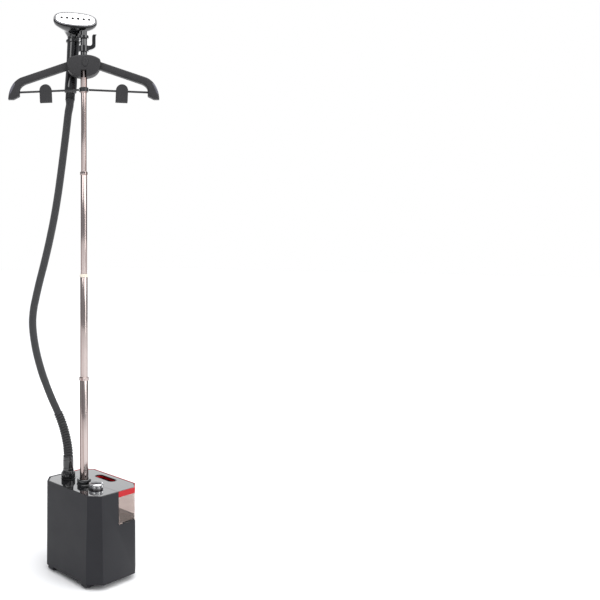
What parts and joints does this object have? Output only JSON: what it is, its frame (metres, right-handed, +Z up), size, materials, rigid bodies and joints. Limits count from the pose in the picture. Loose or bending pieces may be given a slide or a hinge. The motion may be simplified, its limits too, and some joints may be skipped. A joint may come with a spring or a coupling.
{
  "type": "garment steamer",
  "caption": "Upright garment steamer: rolling base with lift-out tank and control knob, telescopic pole, swivelling hanger with trouser clips, steam handset on a hose.",
  "frame": {"origin": "on the floor, under the pole's axis, which is the middle of the object's box without its hose", "axes": "+Z up along the pole; +X to the right along the base's front; -Y out of the base's front"},
  "size_m": [0.3054, 0.3516, 1.6435],
  "materials": {
    "casing": "dark charcoal moulded plastic, satin, fine grain",
    "gloss": "mirror-gloss black moulded plastic",
    "black": "black moulded plastic, satin",
    "matt": "charcoal moulded plastic, matt",
    "red": "deep red moulded plastic, glossy",
    "smoke": "smoky brown transparent plastic, polished",
    "steel": "bright drawn steel tube with a faint rose tint, polished",
    "chrome": "chrome plate, mirror with a knurled band",
    "silver": "satin aluminium sole",
    "brass": "turned brass, bright",
    "cream": "cream nylon, satin",
    "hose": "dark grey braided-look hose cover, matt",
    "cast": "cast aluminium, rough",
    "board": "green circuit board with dark components",
    "rubber": "black rubber, matt"
  },
  "bodies": {
    "root": {"body_shell": "casing", "top_panel": "gloss", "base_tray": "casing", "pole_socket": "gloss", "steam_outlet": "black", "outlet_liner": "brass", "knob_ring": "black", "rotary_switch": "black", "heater_block": "cast", "thermostat": "brass", "steam_pipe": "cream", "water_pump": "black", "control_board": "board", "tank_seat": "black", "cord_gland": "rubber", "axle_front_left": "chrome", "axle_front_right": "chrome", "axle_rear_left": "chrome", "axle_rear_right": "chrome", "pole_lower_tube": "steel", "pole_lower_bush": "steel", "hose_nut": "black", "hose_cuff": "black", "hose_guard": "rubber", "steam_hose": "hose"},
    "knob": {"control_knob": "chrome"},
    "tank": {"tank_shell": "smoke", "lid_band": "red", "tank_lid": "gloss", "grip_pocket": "red", "tank_valve": "matt"},
    "pole_middle": {"pole_middle_tube": "steel", "pole_middle_bush": "cream"},
    "pole_upper": {"pole_upper_tube": "steel", "pole_upper_bush": "steel"},
    "pole_top": {"pole_top_tube": "steel", "top_sleeve": "black", "handset_cradle": "black", "side_hook": "black"},
    "hanger": {"hanger_block": "matt", "rod_ring": "black", "arm_left": "matt", "arm_right": "matt", "rod_left": "black", "rod_right": "black"},
    "button": {"release_button": "matt"},
    "clip_left": {"clip_left": "matt"},
    "clip_left_jaw": {"clip_left_jaw": "matt"},
    "clip_right": {"clip_right": "matt"},
    "clip_right_jaw": {"clip_right_jaw": "matt"},
    "handset": {"handset_head": "gloss", "sole_plate": "silver", "handset_handle": "gloss", "handset_collar": "black"},
    "roller_front_left": {"roller_front_left": "rubber"},
    "roller_front_right": {"roller_front_right": "rubber"},
    "roller_rear_left": {"roller_rear_left": "rubber"},
    "roller_rear_right": {"roller_rear_right": "rubber"}
  },
  "joints": [
    {"name": "pole_slide", "type": "slide", "parent": "root", "child": "pole_middle", "axis": [0, 0, 1], "range_m": [-0.29, 0], "deforming": ["steam_hose"]},
    {"name": "upper_slide", "type": "slide", "parent": "pole_middle", "child": "pole_upper", "axis": [0, 0, 1], "range_m": [-0.285, 0]},
    {"name": "top_slide", "type": "slide", "parent": "pole_upper", "child": "pole_top", "axis": [0, 0, 1], "range_m": [-0.224, 0]},
    {"name": "hanger_turn", "type": "hinge", "parent": "pole_top", "child": "hanger", "pos_m": [0, 0, 1.48], "axis": [0, 0, 1], "range_deg": [-6, 75]},
    {"name": "button_press", "type": "slide", "parent": "hanger", "child": "button", "axis": [-0.7604, 0.6494, 0], "range_m": [0, 0.0015], "stiffness_N_per_m": 300, "springref_m": -0.002},
    {"name": "handset_lift", "type": "slide", "parent": "pole_top", "child": "handset", "axis": [0.0234, 0.0564, 0.9981], "range_m": [0, 0.06]},
    {"name": "knob_turn", "type": "hinge", "parent": "root", "child": "knob", "pos_m": [0.0545, 0, 0.27], "axis": [0, 0, 1], "range_deg": [-270, 0]},
    {"name": "tank_lift", "type": "slide", "parent": "root", "child": "tank", "axis": [0, 0, 1], "range_m": [0, 0.13]},
    {"name": "clip_left_slide", "type": "slide", "parent": "hanger", "child": "clip_left", "axis": [-0.6489, -0.7597, -0.042], "range_m": [-0.06, 0.04]},
    {"name": "clip_left_pinch", "type": "hinge", "parent": "clip_left", "child": "clip_left_jaw", "pos_m": [-0.07144, -0.08364, 1.40995], "axis": [0.6489, 0.7597, 0.042], "range_deg": [0, 18], "stiffness_Nm_per_rad": 0.02, "springref_deg": -17.19},
    {"name": "clip_right_slide", "type": "slide", "parent": "hanger", "child": "clip_right", "axis": [0.6489, 0.7597, -0.042], "range_m": [-0.06, 0.04]},
    {"name": "clip_right_pinch", "type": "hinge", "parent": "clip_right", "child": "clip_right_jaw", "pos_m": [0.07144, 0.08364, 1.40995], "axis": [0.6489, 0.7597, -0.042], "range_deg": [0, 18], "stiffness_Nm_per_rad": 0.02, "springref_deg": -17.19},
    {"name": "front_left_roll", "type": "hinge", "parent": "root", "child": "roller_front_left", "pos_m": [-0.078, -0.049, 0.011], "axis": [1, 0, 0], "continuous": true},
    {"name": "front_right_roll", "type": "hinge", "parent": "root", "child": "roller_front_right", "pos_m": [0.078, -0.049, 0.011], "axis": [1, 0, 0], "continuous": true},
    {"name": "rear_left_roll", "type": "hinge", "parent": "root", "child": "roller_rear_left", "pos_m": [-0.078, 0.102, 0.011], "axis": [1, 0, 0], "continuous": true},
    {"name": "rear_right_roll", "type": "hinge", "parent": "root", "child": "roller_rear_right", "pos_m": [0.078, 0.102, 0.011], "axis": [1, 0, 0], "continuous": true}
  ],
  "couplings": [
    {"joint": "upper_slide", "follows": "pole_slide", "ratio": 0.98276},
    {"joint": "top_slide", "follows": "pole_slide", "ratio": 0.77241}
  ]
}
